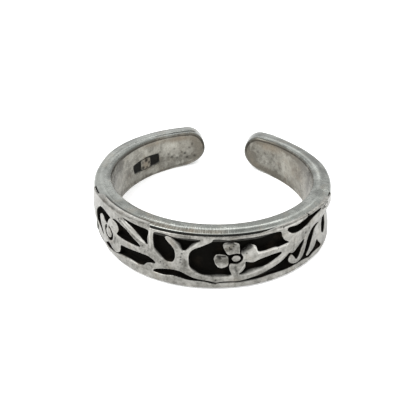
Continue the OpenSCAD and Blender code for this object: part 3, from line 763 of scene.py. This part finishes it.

# %% Stains, painted shade and pits laid on the inner wall
smooth_wall = (band_part == 0) & (band_black < 0.01) & (np.abs(band_height) > 1e-9)
uneven = unevenness(band_angle * MM_PER_DEGREE, band_height, 2.2, 11)
band_radius = band_radius + 0.006 * uneven * smooth_wall
band_warm = np.zeros_like(band_radius)
band_tone = np.zeros_like(band_radius)
for angle, height, wide, tall, warm, dull in STAINS_AND_SHADE:
    x = (band_angle - angle) * WALL_MM_PER_DEGREE / wide
    y = (band_height - height) / tall
    spot = np.exp(-x * x - y * y) * (band_part <= 1)
    band_warm += warm * spot
    band_tone -= dull * spot
for angle, height, reach, deep, dark in WALL_PITS:
    square = ((band_angle - angle) * WALL_MM_PER_DEGREE) ** 2 + (band_height - height) ** 2
    spot = hill(square, reach) * (band_part == 0)
    band_radius = band_radius + deep * spot
    band_black = np.maximum(band_black, dark * spot)
print("radius, mm:", round(band_radius.min(), 3), "to", round(band_radius.max(), 3))

# %% Painted highlights and shade: bright and dull bands of the upper face, and dark lines along its edges
on_top = upper_half & (band_part >= 1) & (band_part < 4)
for first, last, soft, radius, wide, amount in LIT_AND_SHADED_BANDS:
    across = np.exp(-((band_radius - radius) / wide) ** 2)
    band_tone += amount * across * window(first, last, soft, band_angle) * on_top
# Painted shade on the slope that falls towards the seam in front, with a warm stain on its left part
shaded_slope = ease(8.20, 8.32, band_radius) * (band_radius < 8.605) * on_top
band_tone -= 0.48 * shaded_slope * window(-22, 34, 6, band_angle)
band_tone -= 0.45 * shaded_slope * window(40, 68, 6, band_angle)
band_warm += 0.34 * shaded_slope * window(-24, 10, 8, band_angle)
band_stroked = window(-26, 14, 6, band_angle) * ease(7.85, 8.0, band_radius) * on_top
# Painted shade: a dark line where each tip's inner wall meets its rounded end, a duller outer rounding at
# the tips, and a dark band along the lower inner edge of the arms
off_wall = (band_part == 1) * ease(0.3, 0.7, band_share) + (band_part >= 2)
shaded_tip_rim = (1 - off_wall) * ease(162.8, 164.2, from_front)
shaded_outer_rim = off_wall * ease(160, 165, from_front)
shaded_low_edge = (band_part == 0) * ~upper_half * ease(0.82, 0.98, band_share) * ease(112, 135, from_front)
band_tone -= 0.4 * shaded_outer_rim + 0.9 * shaded_tip_rim + 0.7 * shaded_low_edge
# Painted shade along the upper inner edge of the arms, under its rounding
shade_under_edge = (band_part == 1) * (1 - ease(0.1, 0.5, band_share)) * upper_half
band_shade_and_oxide = np.maximum(band_shade_and_oxide, 0.5 * shade_under_edge * ease(92, 110, from_front))
print("tone of the band:", round(band_tone.min(), 2), "to", round(band_tone.max(), 2))

# %% [markdown]
# ## Silver
# Silver darkens where nothing rubs it, and files and the mould leave fine marks. That could be painted on,
# but then it would fit one mesh only. Here the masks at the vertices say where the metal is black, dull or
# warm, and where highlights and shade are painted into its colour, and procedural noise breaks them up. Two
# effects are shared by both pieces and are built once as node groups: slow clouds of tarnish, and the marks
# of files and mould. They put out masks and heights only.

# %% Nodes, links and sums
def new_node(tree, kind, **settings):
    """Adds a node of this kind and sets its properties. Nodes are laid out in rows of ten."""
    row, column = divmod(len(tree.nodes), 10)
    node = tree.nodes.new(kind)
    node.location = (200 * column, -300 * row)
    for name, value in settings.items():
        setattr(node, name, value)
    return node


def plug(tree, socket, value):
    """Links the value to the socket if it is a socket too, and otherwise sets it."""
    if isinstance(value, bpy.types.NodeSocket):
        tree.links.new(value, socket)
    else:
        socket.default_value = value


def blend_colours(tree, factor, one, other):
    """Mixes two colours by the factor. Each is a socket to link or a value."""
    node = new_node(tree, "ShaderNodeMix", data_type="RGBA")
    plug(tree, node.inputs[0], factor)
    for socket, value in ((node.inputs[6], one), (node.inputs[7], other)):
        plug(tree, socket, (*value, 1) if isinstance(value, tuple) else value)
    return node.outputs[2]


def reckon(tree, operation, *values):
    """A Math node of this operation. Each value is a socket to link or a number."""
    node = new_node(tree, "ShaderNodeMath", operation=operation)
    for socket, value in zip(node.inputs, values):
        plug(tree, socket, value)
    return node.outputs[0]


def scaled(tree, value, amount, rest):
    """The value times the amount, plus the rest."""
    return reckon(tree, "MULTIPLY_ADD", value, amount, rest)


# %% Ramps, noise and what the mesh keeps
def ramp(tree, source, low, high):
    """0 at low, 1 at high, smooth in between."""
    node = new_node(tree, "ShaderNodeMapRange", interpolation_type="SMOOTHSTEP")
    for socket, value in zip(node.inputs, (source, low, high)):
        plug(tree, socket, value)
    return node.outputs[0]


def noise(tree, vector, scale, detail, rough=0.55, stretch=None):
    """The value of a noise texture. The vector is first multiplied by stretch, a number for each axis."""
    if stretch:
        mapping = new_node(tree, "ShaderNodeMapping")
        tree.links.new(vector, mapping.inputs[0])
        mapping.inputs["Scale"].default_value = stretch
        vector = mapping.outputs[0]
    node = new_node(tree, "ShaderNodeTexNoise")
    for name, value in (("Vector", vector), ("Scale", scale), ("Detail", detail), ("Roughness", rough)):
        plug(tree, node.inputs[name], value)
    return node.outputs[0]


def attribute(tree, name, output="Fac"):
    """A number or a vector that the mesh keeps at its vertices."""
    return new_node(tree, "ShaderNodeAttribute", attribute_name=name).outputs[output]


# %% Tarnish clouds and surface marks as node groups
def new_group(name, masks):
    """A node group that takes a place on the ring and puts out these masks: its tree, its input socket, and
    the sockets to link the masks to."""
    tree = bpy.data.node_groups.new(name, "ShaderNodeTree")
    tree.interface.new_socket("Place", in_out="INPUT", socket_type="NodeSocketVector")
    for mask in masks:
        tree.interface.new_socket(mask, in_out="OUTPUT", socket_type="NodeSocketFloat")
    start = new_node(tree, "NodeGroupInput")
    return tree, start.outputs[0], new_node(tree, "NodeGroupOutput").inputs


clouds, place, ends = new_group("tarnish_clouds", ["Broad", "Fine", "Warm"])
plug(clouds, ends[0], ramp(clouds, noise(clouds, place, 0.55, 4), 0.35, 0.65))
plug(clouds, ends[1], ramp(clouds, noise(clouds, place, 2.6, 5, 0.65), 0.35, 0.68))
plug(clouds, ends[2], ramp(clouds, noise(clouds, place, 0.9, 3, stretch=(1, 1, 1.3)), 0.52, 0.72))

marks, place, ends = new_group("surface_marks", ["Grinding", "Casting", "Pits", "Strokes"])
cells = new_node(marks, "ShaderNodeTexVoronoi")
plug(marks, cells.inputs["Vector"], place)
cells.inputs["Scale"].default_value = 2.4
pit_dots = ramp(marks, cells.outputs["Distance"], 0.13, 0.05)
few = ramp(marks, noise(marks, place, 1.1, 2), 0.5, 0.6)
plug(marks, ends[0], noise(marks, place, 1.0, 2, stretch=(0.35, 2.8, 0.6)))
plug(marks, ends[1], noise(marks, place, 6.5, 4, 0.6))
plug(marks, ends[2], reckon(marks, "MULTIPLY", pit_dots, few))
plug(marks, ends[3], noise(marks, place, 1.0, 2, stretch=(13, 1.1, 0.9)))
print("node groups:", [group.name for group in bpy.data.node_groups])


# %% Darkness of the silver
def darkness(tree, mark, in_hollows):
    """How dark the metal is: the larger of the attribute `black` and the tiny pits. `black` is black oxide,
    and on the band it also paints shade into the seam and along the arms' inner edge. In the hollows oxide
    begins just below the brim, where `sink` passes about 0.04 mm, and it comes on slowly where `worn` says
    that the wall is rubbed."""
    dark = reckon(tree, "MAXIMUM", attribute(tree, "black"), reckon(tree, "MULTIPLY", mark["Pits"], 0.75))
    if in_hollows:
        ragged = scaled(tree, mark["Casting"], 0.02, 0.034)
        below = reckon(tree, "SUBTRACT", attribute(tree, "sink"), ragged)
        fade = scaled(tree, attribute(tree, "worn"), 0.30, 0.025)
        patina = reckon(tree, "MINIMUM", reckon(tree, "DIVIDE", below, fade), 1.0)
        dark = reckon(tree, "MAXIMUM", dark, patina)
    return dark


# %% Colour of the silver
def silver_colour(tree, place, cloud, mark, bright, dull, inner_wall, fine, grinding, casting):
    """The colour runs from dull to bright by a level: the tarnish clouds, the fine marks round their
    middle, and the attribute `tone`, added up. `tone` holds painted highlights and shade as well as dull
    stains. Where the inner wall has its own two colours, they take over from a radius of 7.6 mm inwards,
    mottled by the fine clouds, and the attribute `stroked` adds file strokes."""
    level = scaled(tree, cloud["Broad"], 0.30, 0.25 - 0.5 * fine)
    for value, amount in ((cloud["Fine"], fine), (mark["Casting"], casting), (mark["Grinding"], grinding)):
        level = scaled(tree, value, amount, level)
    level = reckon(tree, "SUBTRACT", level, 0.5 * casting + 0.5 * grinding)
    level = scaled(tree, attribute(tree, "tone"), 0.6, level)
    if inner_wall is None:
        return blend_colours(tree, level, dull, bright)
    stroke = reckon(tree, "SUBTRACT", mark["Strokes"], 0.5)
    stroke = reckon(tree, "MULTIPLY", stroke, attribute(tree, "stroked"))
    level = scaled(tree, stroke, 3.2, level)
    parts = new_node(tree, "ShaderNodeSeparateXYZ")
    plug(tree, parts.inputs[0], place)
    inside = ramp(tree, parts.outputs[1], 7.60, 7.53)
    mottled = scaled(tree, reckon(tree, "SUBTRACT", cloud["Fine"], 0.5), 0.29, level)
    return blend_colours(tree, inside, blend_colours(tree, level, dull, bright),
                         blend_colours(tree, mottled, *inner_wall))


# %% Worn silver
WARM_BROWN = (0.225, 0.19, 0.145)
OXIDE = (0.002, 0.0018, 0.0013), (0.006, 0.0045, 0.003)


def silver(name, bright, dull, inner_wall, in_hollows, fine, grinding, casting, roughness):
    """Worn silver: its colour, then brown stains where the clouds or the attribute `warm` say so, then black
    oxide and painted shade by the darkness, which is no metal and rougher. The fine marks also bump the
    surface."""
    material = bpy.data.materials.new(name)
    material.use_nodes = True
    tree = material.node_tree
    shader = tree.nodes["Principled BSDF"]
    shader.inputs["Specular IOR Level"].default_value = 0.03
    place = attribute(tree, "ring_place", "Vector")
    groups = [new_node(tree, "ShaderNodeGroup", node_tree=group) for group in (clouds, marks)]
    for node in groups:
        plug(tree, node.inputs[0], place)
    cloud, mark = [node.outputs for node in groups]
    colour = silver_colour(tree, place, cloud, mark, bright, dull, inner_wall, fine, grinding, casting)
    brown = scaled(tree, cloud["Warm"], 0.25, attribute(tree, "warm"))
    colour = blend_colours(tree, reckon(tree, "MINIMUM", brown, 0.8), colour, WARM_BROWN)
    dark = darkness(tree, mark, in_hollows)
    colour = blend_colours(tree, dark, colour, blend_colours(tree, cloud["Warm"], *OXIDE))
    rough = scaled(tree, dark, 0.4, scaled(tree, cloud["Fine"], 0.10, roughness))
    height = reckon(tree, "MULTIPLY", mark["Grinding"], grinding)
    height = scaled(tree, mark["Casting"], casting, height)
    relief = new_node(tree, "ShaderNodeBump")
    relief.inputs["Strength"].default_value = 0.5
    relief.inputs["Distance"].default_value = 0.00002
    plug(tree, relief.inputs["Height"], reckon(tree, "SUBTRACT", height, mark["Pits"]))
    for socket, value in (("Base Color", colour), ("Metallic", reckon(tree, "SUBTRACT", 1.0, dark)),
                          ("Roughness", rough), ("Normal", relief.outputs[0])):
        plug(tree, shader.inputs[socket], value)
    print(name, "nodes:", len(tree.nodes))
    return material


# %% The two silvers: rubbed bright over black hollows, and the plainer silver of the band
panel_silver = silver("rubbed_silver", (0.45, 0.443, 0.415), (0.088, 0.086, 0.076), None,
                      in_hollows=True, fine=0.30, grinding=0.12, casting=0.6, roughness=0.26)
band_silver = silver("worn_silver", (0.395, 0.41, 0.385), (0.10, 0.105, 0.097),
                     [(0.104, 0.099, 0.085), (0.425, 0.417, 0.372)],
                     in_hollows=False, fine=0.06, grinding=0.55, casting=0.08, roughness=0.24)

# %% [markdown]
# ## From grids of points to two pieces
# Both pieces are closed loops of points carried along the ring, so one function turns such a grid into a
# mesh. Points that fall on each other, as at the tips, are merged, which closes the ends without a seam.
# Each vertex also keeps its place along the ring, its radius and its height in the attribute `ring_place`.
# The materials read it, so that file marks can run across the band although the band is bent.
#
# The sheet and the band stay two meshes, because each has its own silver and its own masks. Together they
# stand for the one solid, and they overlap where solder joins the real ones.

# %% Grid to mesh
def grid_mesh(name, radius, angle, height, masks):
    """The arrays are stations by rows: x is the radius times the sine of the angle, -y times its cosine,
    and z the height. Each row joins the next station's row, and the last row joins the first, so that every
    station is a closed loop. The masks become attributes of the vertices."""
    turn = np.radians(angle)
    points = laid_down(np.stack([radius * np.sin(turn), -radius * np.cos(turn), height], -1))
    here = np.arange(radius.size).reshape(radius.shape)
    right = np.roll(here, -1, axis=1)
    quads = np.stack([here[:-1], here[1:], right[1:], right[:-1]], -1).reshape(-1, 4)
    mesh = bpy.data.meshes.new(name)
    mesh.from_pydata(points.reshape(-1, 3).tolist(), [], quads.tolist())
    place = np.stack([angle * MM_PER_DEGREE, radius, height], -1)
    attribute = mesh.attributes.new("ring_place", "FLOAT_VECTOR", "POINT")
    attribute.data.foreach_set("vector", place.astype(np.float32).ravel())
    for label, values in masks.items():
        attribute = mesh.attributes.new(label, "FLOAT", "POINT")
        attribute.data.foreach_set("value", values.astype(np.float32).ravel())
    return mesh


# %% Closing a mesh, and telling the frame what it is
def close_up(mesh):
    """Merges points that coincide, fills the two open ends if there are any, removes faces without area,
    turns every face outwards and shades the mesh smooth. Gives the number of edges left open."""
    work = bmesh.new()
    work.from_mesh(mesh)
    bmesh.ops.remove_doubles(work, verts=work.verts, dist=2e-7)
    bmesh.ops.dissolve_degenerate(work, edges=work.edges, dist=1e-8)
    open_edges = [edge for edge in work.edges if edge.is_boundary]
    if open_edges:
        bmesh.ops.holes_fill(work, edges=open_edges, sides=0)
    bmesh.ops.recalc_face_normals(work, faces=work.faces)
    work.to_mesh(mesh)
    open_left = sum(1 for edge in work.edges if not edge.is_manifold)
    work.free()
    mesh.shade_smooth()
    return open_left


def add_piece(name, mesh, material):
    """Closes the mesh and links it as an object that rides on the ring's one body and stands for the solid
    band."""
    print(name, "edges left open:", close_up(mesh), " faces:", len(mesh.polygons))
    piece = bpy.data.objects.new(name, mesh)
    bpy.context.scene.collection.objects.link(piece)
    mesh.materials.append(material)
    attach(piece, "root")
    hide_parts("band")


# %% The two pieces
sheet_masks = {name: sheet[name] for name in ("black", "tone", "sink", "worn")}
sheet_mesh = grid_mesh("blossom_panel", sheet["radius"], sheet["angle"], sheet["height"], sheet_masks)
add_piece("blossom_panel", sheet_mesh, panel_silver)
# black: oxide in the mark, the pits and the filed lines, and painted shade in the seam behind the panel and
# along the arms' inner edge
band_masks = {"black": np.maximum(band_black, band_shade_and_oxide), "tone": band_tone, "warm": band_warm,
              "stroked": band_stroked}
band_mesh = grid_mesh("ring_band", band_radius, band_angle, band_height, band_masks)
add_piece("ring_band", band_mesh, band_silver)

# %% [markdown]
# ## Studio
# The photo is a plain catalogue picture: white ground, soft light from all round, and a camera that looks
# down at the ring from the front. A photographer would use a light tent. Here a world of even light and two
# area lights are enough, and they keep the reflections in the metal calm.

# %% Floor and room
floor_mesh = bpy.data.meshes.new("floor")
floor_mesh.from_pydata([(-0.6, -0.6, 0), (0.6, -0.6, 0), (0.6, 0.6, 0), (-0.6, 0.6, 0)], [], [(0, 1, 2, 3)])
floor = bpy.data.objects.new("floor", floor_mesh)
bpy.context.scene.collection.objects.link(floor)
floor_card = bpy.data.materials.new("white_card")
floor_card.use_nodes = True
card = floor_card.node_tree.nodes["Principled BSDF"]
for socket, value in (("Base Color", (0.92, 0.92, 0.92, 1)), ("Roughness", 0.9),
                      ("Emission Color", (1, 1, 1, 1)), ("Emission Strength", 0.3)):
    card.inputs[socket].default_value = value
floor_mesh.materials.append(floor_card)

world = bpy.data.worlds.new("soft_room")
world.use_nodes = True
bpy.context.scene.world = world
sky = world.node_tree.nodes["Background"]
sky.inputs["Color"].default_value = (1, 1, 1, 1)
sky.inputs["Strength"].default_value = 1.3


# %% Lights
def add_light(name, place, wide, tall, radiance):
    """A rectangular area light at place, in metres, that looks at the origin. Its power is the radiance
    times pi times its area."""
    lamp = bpy.data.lights.new(name, "AREA")
    lamp.shape = "RECTANGLE"
    lamp.size = wide
    lamp.size_y = tall
    lamp.energy = radiance * math.pi * wide * tall
    holder = bpy.data.objects.new(name, lamp)
    bpy.context.scene.collection.objects.link(holder)
    holder.location = place
    holder.rotation_mode = "QUATERNION"
    holder.rotation_quaternion = (-Vector(place)).to_track_quat("-Z", "Y")
    print(name, "watts:", round(lamp.energy, 4))


add_light("key_softbox", (-0.08, -0.05, 0.14), 0.10, 0.10, 5)
add_light("back_strip", (0.02, 0.123, 0.086), 0.12, 0.02, 3.8)

# %% Camera, turned, tilted and rolled in the upright ring until the band's edges fit the photo
AZIMUTH = math.radians(7.7341)
ELEVATION = math.radians(30.844)
ROLL = math.radians(-1.0033)
CAMERA_AWAY = 60
FOCAL_PIXELS = 787.9134
back_way = np.array([math.sin(AZIMUTH) * math.cos(ELEVATION),
                     -math.cos(AZIMUTH) * math.cos(ELEVATION), math.sin(ELEVATION)])
right_way = np.array([math.cos(AZIMUTH), math.sin(AZIMUTH), 0])
up_way = np.cross(back_way, right_way)
axis_x = math.cos(ROLL) * right_way - math.sin(ROLL) * up_way
axis_y = math.sin(ROLL) * right_way + math.cos(ROLL) * up_way
zero = laid_down(np.zeros(3))
turned_axes = [(laid_down(axis) - zero) * 1000 for axis in (axis_x, axis_y, back_way)]
camera_data = bpy.data.cameras.new("camera")
camera = bpy.data.objects.new("camera", camera_data)
bpy.context.scene.collection.objects.link(camera)
camera.matrix_world = Matrix(np.array(turned_axes).T.tolist()).to_4x4()
camera.location = laid_down(CAMERA_AWAY * back_way)
camera_data.sensor_width = 36
camera_data.lens = FOCAL_PIXELS / 415 * 36
camera_data.shift_x = -0.010755
camera_data.shift_y = -0.03204
camera_data.clip_start = 0.001
bpy.context.scene.camera = camera
bpy.context.scene.view_settings.view_transform = "Standard"
print("camera, mm:", [round(1000 * v, 1) for v in camera.location])
